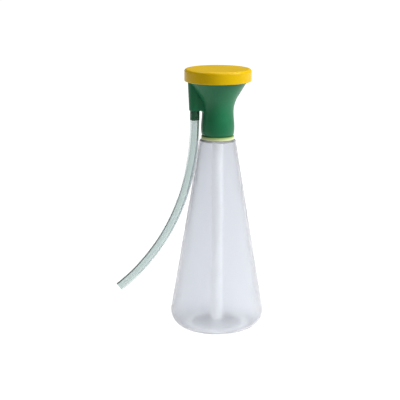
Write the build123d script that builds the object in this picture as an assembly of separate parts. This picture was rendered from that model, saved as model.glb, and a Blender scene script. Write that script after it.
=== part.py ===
"""Single-eye emergency eyewash bottle, in millimetres, standing on Z = 0 with its axis on +Z.

A squeezable cone-shaped bottle carries a screw-on eye cup.  The cup has a spray nozzle on a
dip tube, and a drain duct on its -X side with a hose pushed onto the duct's stub.
A push-on lid covers the cup.
"""
from build123d import *
import os
from math import atan, cos, pi, radians, sin, tan

os.makedirs("parts", exist_ok=True)

# Shared by all pieces
BODY_GAP = 0.3             # between pieces that turn or lift apart
JOIN = 0.5                 # how far two features of one moulding reach into each other
OVERRUN = 1.0              # how far a hollow runs past the face it opens
CLOSE = 0.1                # sizes that differ by less than this belong to the same edge

# Bottle
CONE_BASE_R = 46.15        # where the straight side would meet the ground
CONE_TAPER = 0.1665        # radius lost for each millimetre of height
HEEL_RADIUS = 14.0
SHOULDER_Z = 178.0
SHOULDER_ROUND = 1.6
INNER_SHOULDER_ROUND = 0.4
BOTTLE_WALL = 1.3
PUSH_UP = 1.8              # height of the hollow under the base
PUSH_UP_R = 24.0
NECK_R = 11.2
NECK_BORE_R = 9.9
NECK_TOP = 195.6
NECK_LIP_ROUND = 0.4

# Screw thread, right-handed
PITCH = 3.175
THREAD_DEPTH = 1.15
THREAD_ROOT_WIDTH = 1.6
THREAD_CREST_WIDTH = 0.8
THREAD_SINK = 0.2          # how far a ridge reaches into the wall that carries it
THREAD_GAP = 0.35          # radial play between neck and collar
NECK_THREAD_TURNS = 1.75
COLLAR_THREAD_TURNS = 1.25
NECK_THREAD_Z = 187.4
COLLAR_THREAD_Z = NECK_THREAD_Z + PITCH / 2

# Seal ring under the collar
SEAL_R = 15.0
SEAL_PLAY = 0.4            # radial play round the neck
SEAL_Z = SHOULDER_Z + BODY_GAP
SEAL_HEIGHT = 3.3
SEAL_ROUND = 0.5

# Eye cup
COLLAR_FOOT_Z = SEAL_Z + SEAL_HEIGHT + BODY_GAP
COLLAR_FOOT_R = 14.5
COLLAR_FOOT_ROUND = 1.5
COLLAR_FOOT_LEAN = 0.3     # outward slope of the side at the foot, for each millimetre of rise
COLLAR_BELLY_R = 15.3
COLLAR_BELLY_Z = 190.0
WAIST_R = 14.45
WAIST_Z = 203.4
FLARE_RADIUS = 27.5
FLARE_ANGLE = 31.2         # from the vertical
RIM_R = 28.4
RIM_TOP = 240.1
RIM_WALL = 2.1
CUP_WALL = 2.2
BOWL_FLOOR_Z = 207.0
FLOOR_THICKNESS = 2.0
COLLAR_BORE_R = NECK_R + THREAD_DEPTH + THREAD_GAP
CORE_R = 10.4              # hollow above the neck, inside the land that stops it
HUB_R = 6.3
HUB_TOP = 211.0
SOCKET_WALL = 1.6
SOCKET_BOTTOM = 190.0

# Drain duct, its stub and the way from the bowl into it
DRAIN_TURN = 14.0          # the duct stands this far round from -X, towards -Y
DUCT_X = 21.5
DUCT_Z = 205.0
DUCT_FOOT_R = 5.1
DUCT_TOP_R = 6.4
DUCT_TOP = 234.0
DUCT_EDGE_ROUND = 0.7
WEB_WIDTH = 9.6
WEB_OVERLAP = 2.0          # how far the web reaches into the collar's wall
WEB_CORNER = 1.6           # rounding where the web's underside meets the collar
STUB_R = 3.0
STUB_BOTTOM = 196.3
BARB_R = 3.2
BARB_LENGTH = 2.2
BARB_LEAD = 0.2            # how much narrower a barb starts than the stub
BARB_SPACE = 0.3
BARB_COUNT = 3
DRAIN_BORE_R = 2.0
PORT_R = 2.2
PORT_DROP = 0.8            # fall of the port from the bowl to the duct

# Drain hose: distance from the axis and height of each point of its route
HOSE_R = 4.4
HOSE_BORE_R = 3.0
HOSE_ROUTE = [
    (21.5, 205.0),
    (21.5, 189.0),
    (22.7, 171.0),
    (25.7, 152.0),
    (29.9, 134.0),
    (35.8, 117.0),
    (44.0, 99.5),
    (54.0, 83.0),
    (66.2, 67.5),
    (81.0, 52.0),
    (93.2, 43.0),
]
ARC_SHARE = 0.45           # part of the shorter run that each arc takes up

# Spray nozzle
NOZZLE_R = 4.4
NOZZLE_BOTTOM = 206.0
NOZZLE_WALL = 1.0
FLANGE_R = 6.0
FLANGE_HEIGHT = 1.2
DOME_HEIGHT = 0.9
DOME_R = 5.5
JET_R = 0.5
JET_COUNT = 6
JET_CIRCLE_R = 2.5

# Dip tube
DIP_R = 5.2
DIP_BORE_R = 4.2
DIP_BOTTOM = 5.2
DIP_TOP = BOWL_FLOOR_Z - FLOOR_THICKNESS - JOIN

# Lid
LID_R = 30.4
LID_BOTTOM = 231.4
LID_TOP = 242.5
LID_TOP_ROUND = 2.4
LID_EDGE_ROUND = 0.6
LID_PLATE = 1.9
LID_GAP = 0.35


def cone_radius(z):
    """Outer radius of the bottle's straight side at height z."""
    return CONE_BASE_R - CONE_TAPER * z


def turned(*edges):
    """Solid of revolution about Z from edges drawn as (radius, height)."""
    return revolve(Plane.XZ * make_face(edges), axis=Axis.Z)


def cylinder(radius, bottom, top, x=0.0):
    """Upright cylinder between two heights."""
    return Pos(x, 0, bottom) * extrude(Circle(radius), top - bottom)


def tube(radius, bore, bottom, top):
    """Upright tube between two heights."""
    return cylinder(radius, bottom, top) - cylinder(bore, bottom, top)


def edges_at(solid, z, radius):
    """Circular edges of this radius at height z."""
    circles = solid.edges().filter_by(GeomType.CIRCLE)
    return [e for e in circles if abs(e.center().Z - z) < CLOSE and abs(e.radius - radius) < CLOSE]


def thread_ridge(wall_r, depth, start_z, turns):
    """Helical ridge standing out of a wall; a negative depth points towards the axis."""
    path = Pos(0, 0, start_z) * Helix(PITCH, turns * PITCH, wall_r)
    sink = -THREAD_SINK if depth > 0 else THREAD_SINK
    outline = Polyline(
        (sink, -THREAD_ROOT_WIDTH / 2),
        (depth, -THREAD_CREST_WIDTH / 2),
        (depth, THREAD_CREST_WIDTH / 2),
        (sink, THREAD_ROOT_WIDTH / 2),
        close=True,
    )
    section = Plane(origin=path @ 0, x_dir=(1, 0, 0), z_dir=path % 0) * make_face(outline)
    return sweep(section, path=path, is_frenet=True)


def cone_body(inset):
    """The bottle's body without its neck, shrunk by inset on every side."""
    slant = inset / cos(atan(CONE_TAPER))
    top = SHOULDER_Z - inset
    heel = (cone_radius(inset) - slant, inset)
    shoulder = (cone_radius(top) - slant, top)
    face = make_face(Polyline((0, inset), heel, shoulder, (0, top), close=True))
    rounds = ((heel, HEEL_RADIUS - inset), (shoulder, max(SHOULDER_ROUND - inset, INNER_SHOULDER_ROUND)))
    for corner, radius in rounds:
        face = fillet(face.vertices().sort_by_distance(corner)[0], radius)
    return revolve(Plane.XZ * face, axis=Axis.Z)


def dome(height, foot_z, radius):
    """Shallow cap of a sphere over a circle at foot_z."""
    sphere_r = (radius**2 + height**2) / (2 * height)
    ball = Pos(0, 0, foot_z + height - sphere_r) * Sphere(sphere_r)
    return ball & cylinder(radius, foot_z, foot_z + height)


def make_bottle():
    """Hollow cone-shaped bottle with a hollowed base and a threaded neck."""
    outside = cone_body(0) + cylinder(NECK_R, SHOULDER_Z - BOTTLE_WALL, NECK_TOP)
    outside -= dome(PUSH_UP, 0, PUSH_UP_R)
    hollow = cone_body(BOTTLE_WALL) - dome(PUSH_UP, BOTTLE_WALL, PUSH_UP_R)
    hollow += cylinder(NECK_BORE_R, SHOULDER_Z - 2 * BOTTLE_WALL, NECK_TOP + OVERRUN)
    bottle = outside - hollow
    bottle = fillet(edges_at(bottle, NECK_TOP, NECK_R), NECK_LIP_ROUND)
    return bottle + thread_ridge(NECK_R, THREAD_DEPTH, NECK_THREAD_Z, NECK_THREAD_TURNS)


def make_seal_ring():
    """Flat ring with rounded outer edges, between the bottle's shoulder and the collar."""
    ring = tube(SEAL_R, NECK_R + SEAL_PLAY, SEAL_Z, SEAL_Z + SEAL_HEIGHT)
    for z in (SEAL_Z, SEAL_Z + SEAL_HEIGHT):
        ring = fillet(edges_at(ring, z, SEAL_R), SEAL_ROUND)
    return ring


def cup_outside():
    """Collar, waist and flare of the eye cup as one solid of revolution."""
    foot = (COLLAR_FOOT_R, COLLAR_FOOT_Z)
    belly = (COLLAR_BELLY_R, COLLAR_BELLY_Z)
    waist = (WAIST_R, WAIST_Z)
    collar = Spline(foot, belly, waist, tangents=[(COLLAR_FOOT_LEAN, 1), (0, 1)])
    bend = JernArc(waist, (0, 1), FLARE_RADIUS, -FLARE_ANGLE)
    bend_end = bend @ 1
    rim_z = bend_end.Y + (RIM_R - bend_end.X) / tan(radians(FLARE_ANGLE))
    rest = Polyline(bend_end, (RIM_R, rim_z), (RIM_R, RIM_TOP), (0, RIM_TOP), (0, COLLAR_FOOT_Z), foot)
    body = turned(collar, bend, rest)
    return fillet(edges_at(body, COLLAR_FOOT_Z, COLLAR_FOOT_R), COLLAR_FOOT_ROUND)


def bowl_hollow():
    """Inside of the eye cup: it follows the waist and flare one wall further in."""
    waist = (WAIST_R - CUP_WALL, WAIST_Z)
    bend = JernArc(waist, (0, 1), FLARE_RADIUS + CUP_WALL, -FLARE_ANGLE)
    bend_end = bend @ 1
    inner_r = RIM_R - RIM_WALL
    rim_z = bend_end.Y + (inner_r - bend_end.X) / tan(radians(FLARE_ANGLE))
    top = RIM_TOP + OVERRUN
    rest = Polyline(bend_end, (inner_r, rim_z), (inner_r, top), (0, top), (0, WAIST_Z), waist)
    below_floor = cylinder(RIM_R, WAIST_Z - OVERRUN, BOWL_FLOOR_Z)
    return turned(bend, rest) - below_floor


def make_duct():
    """Tapered duct beside the waist, with the web that ties it to the cup."""
    height = DUCT_TOP - DUCT_Z
    column = Pos(-DUCT_X, 0, DUCT_Z) * Cone(
        DUCT_FOOT_R, DUCT_TOP_R, height, align=(Align.CENTER, Align.CENTER, Align.MIN)
    )
    inner = -WAIST_R + WEB_OVERLAP
    round_start = (-WAIST_R - WEB_CORNER, DUCT_Z)
    round_end = (-WAIST_R, DUCT_Z - WEB_CORNER)
    corner = RadiusArc(round_start, round_end, WEB_CORNER)
    outline = Polyline(
        round_end,
        (inner, DUCT_Z - WEB_CORNER),
        (inner, DUCT_TOP),
        (-DUCT_X, DUCT_TOP),
        (-DUCT_X, DUCT_Z),
        round_start,
    )
    web = extrude(Plane.XZ * make_face([corner, outline]), WEB_WIDTH / 2, both=True)
    duct = column + web
    foot_edges = [e for e in duct.edges() if abs(e.center().Z - DUCT_Z) < CLOSE]
    free_edges = [e for e in foot_edges if e.center().X < round_start[0] - CLOSE]
    return fillet(free_edges, DUCT_EDGE_ROUND)


def make_stub():
    """Hose stub under the duct, with barbs that grip the hose."""
    stub = cylinder(STUB_R, STUB_BOTTOM, DUCT_Z + JOIN, -DUCT_X)
    for i in range(BARB_COUNT):
        low = STUB_BOTTOM + i * (BARB_LENGTH + BARB_SPACE)
        barb = Cone(STUB_R - BARB_LEAD, BARB_R, BARB_LENGTH, align=(Align.CENTER, Align.CENTER, Align.MIN))
        stub += Pos(-DUCT_X, 0, low) * barb
    return stub


def make_eye_cup():
    """One moulding: threaded collar, funnel-shaped bowl, nozzle hub, dip-tube socket and drain duct."""
    floor_underside = BOWL_FLOOR_Z - FLOOR_THICKNESS
    cup = cup_outside() + make_duct()
    cup -= cylinder(COLLAR_BORE_R, COLLAR_FOOT_Z - OVERRUN, NECK_TOP + BODY_GAP)
    cup -= cylinder(CORE_R, NECK_TOP, floor_underside)
    cup -= bowl_hollow()
    cup += tube(DIP_R + SOCKET_WALL, DIP_R, SOCKET_BOTTOM, floor_underside + JOIN)
    cup += cylinder(HUB_R, BOWL_FLOOR_Z - JOIN, HUB_TOP)
    cup -= cylinder(NOZZLE_R, floor_underside - OVERRUN, HUB_TOP + OVERRUN)
    cup += make_stub()
    cup -= cylinder(DRAIN_BORE_R, STUB_BOTTOM - OVERRUN, BOWL_FLOOR_Z + PORT_R, -DUCT_X)
    port_start = Vector(-HUB_R - PORT_R, 0, BOWL_FLOOR_Z + PORT_R)
    port_end = Vector(-DUCT_X, 0, BOWL_FLOOR_Z + PORT_R - PORT_DROP)
    port_plane = Plane(origin=port_start, z_dir=port_end - port_start)
    cup -= port_plane * extrude(Circle(PORT_R), (port_end - port_start).length)
    cup += thread_ridge(COLLAR_BORE_R, -THREAD_DEPTH, COLLAR_THREAD_Z, COLLAR_THREAD_TURNS)
    return Rot(0, 0, DRAIN_TURN) * cup


def make_nozzle():
    """Hollow plug with a domed head pierced by the spray jets."""
    flange_top = HUB_TOP + FLANGE_HEIGHT
    nozzle = cylinder(NOZZLE_R, NOZZLE_BOTTOM, HUB_TOP) + cylinder(FLANGE_R, HUB_TOP, flange_top)
    nozzle += dome(DOME_HEIGHT, flange_top, DOME_R)
    nozzle -= cylinder(NOZZLE_R - NOZZLE_WALL, NOZZLE_BOTTOM, HUB_TOP + JOIN)
    jet = cylinder(JET_R, HUB_TOP, flange_top + DOME_HEIGHT + OVERRUN)
    nozzle -= jet
    for i in range(JET_COUNT):
        nozzle -= Rot(0, 0, i * 360 / JET_COUNT) * Pos(JET_CIRCLE_R, 0, 0) * jet
    return nozzle


def make_dip_tube():
    """Straight tube from the nozzle's socket to just above the bottle's floor."""
    return tube(DIP_R, DIP_BORE_R, DIP_BOTTOM, DIP_TOP)


def make_lid():
    """Shallow push-on lid with a rounded top edge."""
    lid = cylinder(LID_R, LID_BOTTOM, LID_TOP)
    lid = fillet(edges_at(lid, LID_TOP, LID_R), LID_TOP_ROUND)
    lid = fillet(edges_at(lid, LID_BOTTOM, LID_R), LID_EDGE_ROUND)
    return lid - cylinder(RIM_R + LID_GAP, LID_BOTTOM - OVERRUN, LID_TOP - LID_PLATE)


def hose_path():
    """Straight runs joined by tangent arcs, each as large as its two runs allow."""
    turn = radians(DRAIN_TURN)
    points = [Vector(-r * cos(turn), -r * sin(turn), z) for r, z in HOSE_ROUTE]
    runs = [b - a for a, b in zip(points, points[1:])]
    radii = []
    for before, after in zip(runs, runs[1:]):
        half_turn = radians(before.get_angle(after)) / 2
        radii.append(ARC_SHARE * min(before.length, after.length) / tan(half_turn))
    print("hose radii", [round(radius, 1) for radius in radii])
    return FilletPolyline(*points, radius=radii)


def make_drain_hose():
    """Plain tube with an open, square-cut end, pushed onto the stub at its top."""
    path = hose_path()
    section = Plane(origin=path @ 0, z_dir=path % 0) * (Circle(HOSE_R) - Circle(HOSE_BORE_R))
    hose = sweep(section, path=path)
    expected = pi * (HOSE_R**2 - HOSE_BORE_R**2) * path.length
    print("hose length", round(path.length, 1))
    print("hose volume", round(hose.volume, 1), "expected", round(expected, 1))
    return hose


PARTS = {
    "bottle": make_bottle,
    "seal_ring": make_seal_ring,
    "eye_cup": make_eye_cup,
    "spray_nozzle": make_nozzle,
    "dip_tube": make_dip_tube,
    "drain_hose": make_drain_hose,
    "lid": make_lid,
}

for name, make in PARTS.items():
    export_step(make(), f"parts/{name}.step")
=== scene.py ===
"""Looks of the eyewash bottle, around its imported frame: hose, materials, light and camera. Metres."""
from math import cos, pi, radians, sin

import bpy
from mathutils import Matrix, Vector


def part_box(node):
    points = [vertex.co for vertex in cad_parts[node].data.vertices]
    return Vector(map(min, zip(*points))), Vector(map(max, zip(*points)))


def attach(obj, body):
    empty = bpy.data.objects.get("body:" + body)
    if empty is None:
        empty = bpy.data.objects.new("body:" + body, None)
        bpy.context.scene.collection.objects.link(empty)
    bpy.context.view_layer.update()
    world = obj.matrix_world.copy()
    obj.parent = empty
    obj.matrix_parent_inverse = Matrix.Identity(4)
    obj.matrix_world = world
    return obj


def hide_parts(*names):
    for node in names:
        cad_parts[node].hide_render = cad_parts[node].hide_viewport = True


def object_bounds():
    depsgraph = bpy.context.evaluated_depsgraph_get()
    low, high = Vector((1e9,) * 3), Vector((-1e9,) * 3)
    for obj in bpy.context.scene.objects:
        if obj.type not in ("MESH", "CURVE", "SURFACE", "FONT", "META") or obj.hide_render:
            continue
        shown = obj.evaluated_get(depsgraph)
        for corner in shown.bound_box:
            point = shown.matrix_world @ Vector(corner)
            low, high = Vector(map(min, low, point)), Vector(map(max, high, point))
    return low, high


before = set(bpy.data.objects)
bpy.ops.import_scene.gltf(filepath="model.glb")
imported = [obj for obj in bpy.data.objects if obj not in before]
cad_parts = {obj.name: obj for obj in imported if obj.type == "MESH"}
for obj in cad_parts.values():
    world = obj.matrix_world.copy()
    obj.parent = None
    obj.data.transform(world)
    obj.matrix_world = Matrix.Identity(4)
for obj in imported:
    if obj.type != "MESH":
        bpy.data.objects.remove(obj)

CAD_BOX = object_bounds()
MM = 0.001

# Camera: it looks at the middle of the object's height from straight in front
CAMERA_DISTANCE = 0.950
CAMERA_HEIGHT = 0.357
CAMERA_ROLL = radians(0.31)
CAMERA_LENS = 94.93
CAMERA_SHIFT = (-0.0433, -0.002)

# Drain hose: distance from the axis and height of each point of its route, in millimetres
DRAIN_TURN = radians(14.0)
HOSE_ROUTE = [
    (21.5, 205.0),
    (21.5, 189.0),
    (22.7, 171.0),
    (25.7, 152.0),
    (29.9, 134.0),
    (35.8, 117.0),
    (44.0, 99.5),
    (54.0, 83.0),
    (66.2, 67.5),
    (81.0, 52.0),
    (93.2, 43.0),
]
HOSE_R = 4.4 * MM
HOSE_BORE_R = 3.0 * MM
STUB_LENGTH = 8.7 * MM       # part of the hose that is pushed over the stub
STUB_HOLD = 0.25 * MM        # how far the stub presses into the hose's wall
HOSE_TOP = HOSE_ROUTE[0][1] * MM
HOSE_SIDES = 48
CURVE_STEPS = 12             # points along the hose's line for each of its route's runs
SHARP_EDGE = radians(50.0)   # steeper corners than this stay sharp

# Surface relief of the plastics, and how far their roughness strays from its middle
FLOW_WAVES = 0.12 * MM
SKIN_GRAIN = 0.012 * MM
BLOWN_WAVES = 0.2 * MM
HOSE_WAVES = 0.05 * MM
STUB_FADE = 1.0 * MM         # the hose's tint changes over this far on each side of the stub's end
ROUGHNESS_SPREAD = 0.05

# Floor, backdrop and light
FLOOR_SIZE = 6.0             # from the middle to each side
FLOOR_FADE = (-0.32, -0.18)  # the floor's backlight fades between these distances in front
FLOOR_GLOW = (0.1, 0.95)     # its strength in front of them and behind them
WORLD_LIGHT = 0.14           # light from all round
WORLD_SEEN = 1.0             # brightness of the plain backdrop itself
LIGHTS = {                   # place, the point it faces, its width and height, its power in watts
    "key": ((1.0, -0.36, 0.85), (0, 0, 0.15), (0.5, 0.5), 17),
    "overhead": ((0.0, 0.25, 1.0), (0, 0, 0.2), (1.0, 0.6), 6),
    "front": ((0.35, -0.9, 1.2), (0, 0, 0.2), (0.8, 0.5), 5),
    "fill": ((-0.9, 0.0, 0.5), (0, 0, 0.15), (0.3, 0.6), 0.4),
}


# ---------------------------------------------------------------- camera

def make_camera():
    """Camera in front of the object, with a slight roll and the framing's small shift."""
    data = bpy.data.cameras.new("camera")
    data.lens = CAMERA_LENS
    data.sensor_width = 36.0
    data.shift_x, data.shift_y = CAMERA_SHIFT
    camera = bpy.data.objects.new("camera", data)
    bpy.context.scene.collection.objects.link(camera)
    low, high = CAD_BOX
    target = Vector((0, 0, (low[2] + high[2]) / 2))
    place = Vector((0, -CAMERA_DISTANCE, CAMERA_HEIGHT))
    look = (target - place).to_track_quat("-Z", "Y").to_matrix()
    turned = (look @ Matrix.Rotation(CAMERA_ROLL, 3, "Z")).to_4x4()
    camera.matrix_world = Matrix.Translation(place) @ turned
    bpy.context.scene.camera = camera


# ---------------------------------------------------------------- hose

def hose_centreline():
    """Points along the NURBS spline whose control points are the hose's route."""
    curve = bpy.data.curves.new("hose_line", "CURVE")
    curve.dimensions = "3D"
    curve.resolution_u = CURVE_STEPS
    spline = curve.splines.new("NURBS")
    spline.points.add(len(HOSE_ROUTE) - 1)
    for point, (r, z) in zip(spline.points, HOSE_ROUTE):
        point.co = (-r * cos(DRAIN_TURN) * MM, -r * sin(DRAIN_TURN) * MM, z * MM, 1.0)
    spline.order_u = 3
    spline.use_endpoint_u = True
    line = bpy.data.objects.new("hose_line", curve)
    bpy.context.scene.collection.objects.link(line)
    bpy.context.view_layer.update()
    mesh = bpy.data.meshes.new_from_object(line)
    points = [v.co.copy() for v in mesh.vertices]
    bpy.data.objects.remove(line)
    bpy.data.curves.remove(curve)
    bpy.data.meshes.remove(mesh)
    return points


def distances(points):
    """Distance along the line to each of its points."""
    total = [0.0]
    for a, b in zip(points, points[1:]):
        total.append(total[-1] + (b - a).length)
    return total


def hose_profile(points):
    """Centre, direction, outer and inner radius of each ring along the hose."""
    along = distances(points)
    rings = []
    for i, point in enumerate(points):
        before = points[max(i - 1, 0)]
        after = points[min(i + 1, len(points) - 1)]
        bore = HOSE_BORE_R if along[i] > STUB_LENGTH else HOSE_BORE_R - STUB_HOLD
        rings.append((point, (after - before).normalized(), HOSE_R, bore))
    return rings


def make_tube(name, rings, sides):
    """Closed mesh of a hollow tube with square-cut ends, from its rings."""
    vertices, faces = [], []
    across = Vector((0, 1, 0))
    loops = []
    for centre, direction, outer, bore in rings:
        side = (across - direction * across.dot(direction)).normalized()
        up = direction.cross(side)
        loops.append([(centre, side, up, outer), (centre, side, up, bore)])
    # once along the outside, then back along the bore
    for centre, side, up, radius in [l[0] for l in loops] + [l[1] for l in reversed(loops)]:
        for k in range(sides):
            angle = 2 * pi * k / sides
            vertices.append(centre + (side * cos(angle) + up * sin(angle)) * radius)
    count = 2 * len(rings)
    for i in range(count):
        for k in range(sides):
            a, b = i * sides, ((i + 1) % count) * sides
            n = (k + 1) % sides
            faces.append((a + k, a + n, b + n, b + k))
    mesh = bpy.data.meshes.new(name)
    mesh.from_pydata(vertices, [], faces)
    mesh.validate()
    mesh.update()
    mesh.shade_smooth()
    mesh.set_sharp_from_angle(angle=SHARP_EDGE)
    tube = bpy.data.objects.new(name, mesh)
    bpy.context.scene.collection.objects.link(tube)
    return tube


def make_hose():
    """The drain hose in place of its plain CAD node, riding on the cup."""
    points = hose_centreline()
    hose = make_tube("hose_tube", hose_profile(points), HOSE_SIDES)
    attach(hose, "cup")
    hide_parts("drain_hose")
    return hose


# ---------------------------------------------------------------- materials

class Nodes:
    """A material's node tree, with short calls to add and join nodes."""

    def __init__(self, name):
        self.material = bpy.data.materials.new(name)
        self.material.use_nodes = True
        self.tree = self.material.node_tree
        self.tree.nodes.clear()
        self.place = self.add("ShaderNodeTexCoord").outputs["Object"]

    def add(self, kind, **settings):
        node = self.tree.nodes.new(kind)
        for name, value in settings.items():
            setattr(node, name, value)
        return node

    def join(self, output, socket):
        """Link an output to an input socket."""
        self.tree.links.new(output, socket)

    def noise(self, scale, detail=2.0, stretch=(1, 1, 1)):
        """Noise of so many grains to the metre, drawn out along an axis by stretch."""
        mapping = self.add("ShaderNodeMapping")
        mapping.inputs["Scale"].default_value = stretch
        self.join(self.place, mapping.inputs["Vector"])
        node = self.add("ShaderNodeTexNoise")
        node.inputs["Scale"].default_value = scale
        node.inputs["Detail"].default_value = detail
        self.join(mapping.outputs["Vector"], node.inputs["Vector"])
        return node.outputs["Fac"]

    def ramp(self, value, *stops):
        """Colour ramp over (position, colour) stops."""
        node = self.add("ShaderNodeValToRGB")
        elements = node.color_ramp.elements
        while len(elements) < len(stops):
            elements.new(0.5)
        for element, (position, colour) in zip(elements, stops):
            element.position = position
            element.color = (*colour, 1.0)
        self.join(value, node.inputs["Fac"])
        return node.outputs["Color"]

    def clouded(self, value, dark, light):
        """Colour that drifts between two close tones with a noise value."""
        return self.ramp(value, (0.3, dark), (0.7, light))

    def span(self, value, low, high):
        """Value from 0 to 1 mapped to the range from low to high."""
        node = self.add("ShaderNodeMapRange")
        node.inputs["To Min"].default_value = low
        node.inputs["To Max"].default_value = high
        self.join(value, node.inputs["Value"])
        return node.outputs["Result"]

    def height(self, low, high):
        """0 at the lower height, 1 at the upper one and evenly between them."""
        split = self.add("ShaderNodeSeparateXYZ")
        self.join(self.place, split.inputs["Vector"])
        node = self.add("ShaderNodeMapRange")
        node.inputs["From Min"].default_value = low
        node.inputs["From Max"].default_value = high
        self.join(split.outputs["Z"], node.inputs["Value"])
        return node.outputs["Result"]

    def bump(self, height, distance, under=None):
        """Normal for a relief so many metres deep, over another one's if it's given."""
        node = self.add("ShaderNodeBump")
        node.inputs["Distance"].default_value = distance
        self.join(height, node.inputs["Height"])
        if under is not None:
            self.join(under, node.inputs["Normal"])
        return node.outputs["Normal"]

    def principled(self, **values):
        """Principled shader; each name is an input's, with _ for its spaces."""
        node = self.add("ShaderNodeBsdfPrincipled")
        for name, value in values.items():
            node.inputs[name.replace("_", " ")].default_value = value
        return node

    def finish(self, shader):
        output = self.add("ShaderNodeOutputMaterial")
        self.join(shader, output.inputs["Surface"])
        return self.material


def moulded_plastic(name, dark, light, roughness, specular=0.5):
    """Opaque moulded plastic: slight cloudiness, fine skin texture and a few flow waves."""
    n = Nodes(name)
    shader = n.principled(IOR=1.5, Specular_IOR_Level=specular)
    n.join(n.clouded(n.noise(60), dark, light), shader.inputs["Base Color"])
    patchy = n.span(n.noise(220, 4.0), roughness - ROUGHNESS_SPREAD, roughness + ROUGHNESS_SPREAD)
    n.join(patchy, shader.inputs["Roughness"])
    waves = n.bump(n.noise(70), FLOW_WAVES)
    skin = n.bump(n.noise(2600, 3.0), SKIN_GRAIN, under=waves)
    n.join(skin, shader.inputs["Normal"])
    return n.finish(shader.outputs["BSDF"])


def frosted_bottle():
    """Translucent blow-moulded polyethylene: a frosted wall that lets the dip tube show softly."""
    n = Nodes("bottle_frosted")
    shader = n.principled(IOR=1.36, Transmission_Weight=0.9, Specular_IOR_Level=0.3)
    streaks = n.noise(70, 3.0, stretch=(1, 1, 0.08))
    colour = n.clouded(streaks, (0.785, 0.80, 0.835), (0.815, 0.83, 0.865))
    n.join(colour, shader.inputs["Base Color"])
    n.join(n.span(n.noise(300, 3.0), 0.22, 0.28), shader.inputs["Roughness"])
    n.join(n.bump(n.noise(40, stretch=(1, 1, 0.4)), BLOWN_WAVES), shader.inputs["Normal"])
    return n.finish(shader.outputs["BSDF"])


def clear_hose():
    """Clear flexible vinyl with a green-grey tint and soft waves; it's clearer over the stub."""
    n = Nodes("hose_vinyl")
    shader = n.principled(IOR=1.48, Transmission_Weight=1.0, Roughness=0.04)
    stub_end = HOSE_TOP - STUB_LENGTH
    over_stub = n.height(stub_end - STUB_FADE, stub_end + STUB_FADE)
    colour = n.ramp(over_stub, (0.0, (0.65, 0.71, 0.70)), (1.0, (0.92, 0.96, 0.95)))
    n.join(colour, shader.inputs["Base Color"])
    n.join(n.bump(n.noise(60, 1.0), HOSE_WAVES), shader.inputs["Normal"])
    return n.finish(shader.outputs["BSDF"])


def seal_yellow():
    """Soft yellow seal with painted shade: pale at its lower edge, darker and greener towards its upper
    edge, for the collar's shadow and green light falling on it.
    """
    n = Nodes("seal_yellow")
    shader = n.principled(IOR=1.5, Specular_IOR_Level=0.3)
    low, high = (corner[2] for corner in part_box("seal_ring"))
    # painted shade: the ring darkens from pale yellow below to the collar's green at its upper edge
    stops = ((0.0, (0.68, 0.70, 0.46)), (0.45, (0.55, 0.60, 0.30)), (1.0, (0.16, 0.30, 0.07)))
    n.join(n.ramp(n.height(low, high), *stops), shader.inputs["Base Color"])
    n.join(n.span(n.noise(400), 0.4, 0.55), shader.inputs["Roughness"])
    return n.finish(shader.outputs["BSDF"])


def milky_tube_painted_glow():
    """White polyethylene tube with a painted glow: its faint emission stands for light scattered inside
    the bottle's wall.
    """
    n = Nodes("tube_milky_painted_glow")
    # painted glow: a faint white emission in place of the light that reaches the tube through the
    # bottle's wall
    shader = n.principled(IOR=1.5, Specular_IOR_Level=0.4, Emission_Strength=0.45)
    shader.inputs["Emission Color"].default_value = (1, 1, 1, 1)
    colour = n.clouded(n.noise(80), (0.90, 0.92, 0.93), (0.95, 0.96, 0.96))
    n.join(colour, shader.inputs["Base Color"])
    n.join(n.span(n.noise(400), 0.35, 0.5), shader.inputs["Roughness"])
    return n.finish(shader.outputs["BSDF"])


def give(node_name, material):
    """Put the material in every slot of a CAD node's object."""
    for slot in bpy.data.objects[node_name].material_slots:
        slot.material = material


# ---------------------------------------------------------------- floor and light

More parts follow.
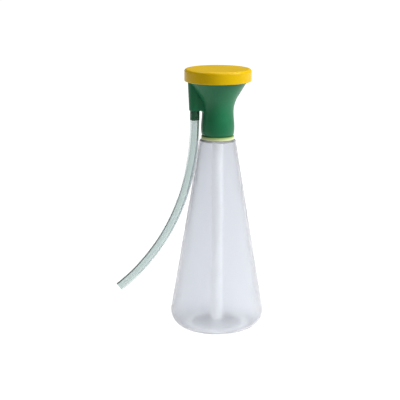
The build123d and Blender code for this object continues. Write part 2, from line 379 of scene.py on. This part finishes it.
def make_floor():
    """Plain pale floor: it looks white, and lights the object less from in front of FLOOR_FADE."""
    mesh = bpy.data.meshes.new("floor")
    corners = [(x * FLOOR_SIZE, y * FLOOR_SIZE, 0) for x, y in ((-1, -1), (1, -1), (1, 1), (-1, 1))]
    mesh.from_pydata(corners, [], [(0, 1, 2, 3)])
    mesh.update()
    floor = bpy.data.objects.new("floor", mesh)
    bpy.context.scene.collection.objects.link(floor)
    n = Nodes("floor_paper")
    shader = n.principled(Roughness=0.9, Specular_IOR_Level=0.0)
    shader.inputs["Emission Color"].default_value = (1, 1, 1, 1)
    colour = n.clouded(n.noise(3), (0.40, 0.40, 0.40), (0.42, 0.42, 0.42))
    n.join(colour, shader.inputs["Base Color"])
    split = n.add("ShaderNodeSeparateXYZ")
    n.join(n.place, split.inputs["Vector"])
    fade = n.add("ShaderNodeMapRange", interpolation_type="SMOOTHSTEP")
    for socket, value in zip(("From Min", "From Max", "To Min", "To Max"), (*FLOOR_FADE, *FLOOR_GLOW)):
        fade.inputs[socket].default_value = value
    n.join(split.outputs["Y"], fade.inputs["Value"])
    glow = n.add("ShaderNodeMath", operation="MAXIMUM")
    n.join(fade.outputs["Result"], glow.inputs[0])
    n.join(n.add("ShaderNodeLightPath").outputs["Is Camera Ray"], glow.inputs[1])
    n.join(glow.outputs["Value"], shader.inputs["Emission Strength"])
    mesh.materials.append(n.finish(shader.outputs["BSDF"]))


def make_area_light(name, place, target, size, power):
    """Rectangular soft light that faces its target."""
    data = bpy.data.lights.new(name, "AREA")
    data.shape = "RECTANGLE"
    data.size, data.size_y = size
    data.energy = power
    light = bpy.data.objects.new(name, data)
    light.location = place
    light.rotation_euler = (Vector(target) - Vector(place)).to_track_quat("-Z", "Y").to_euler()
    bpy.context.scene.collection.objects.link(light)


def make_light():
    """Soft area lights, and a plain world that looks brighter than it lights."""
    world = bpy.data.worlds.new("studio")
    world.use_nodes = True
    background = world.node_tree.nodes["Background"]
    background.inputs["Color"].default_value = (1, 1, 1, 1)
    seen = world.node_tree.nodes.new("ShaderNodeLightPath")
    strength = world.node_tree.nodes.new("ShaderNodeMapRange")
    strength.inputs["To Min"].default_value = WORLD_LIGHT
    strength.inputs["To Max"].default_value = WORLD_SEEN
    world.node_tree.links.new(seen.outputs["Is Camera Ray"], strength.inputs["Value"])
    world.node_tree.links.new(strength.outputs["Result"], background.inputs["Strength"])
    bpy.context.scene.world = world
    for name, settings in LIGHTS.items():
        make_area_light(name, *settings)


make_camera()
hose = make_hose()

green = moulded_plastic("cup_green", (0.010, 0.125, 0.052), (0.013, 0.145, 0.060), 0.36, 0.2)
yellow = moulded_plastic("lid_yellow", (0.56, 0.36, 0.0), (0.60, 0.385, 0.001), 0.32, 0.14)
give("bottle", frosted_bottle())
give("eye_cup", green)
give("spray_nozzle", green)
give("lid", yellow)
give("dip_tube", milky_tube_painted_glow())
give("seal_ring", seal_yellow())
hose.data.materials.append(clear_hose())

make_floor()
make_light()
bpy.context.scene.view_settings.view_transform = "Standard"
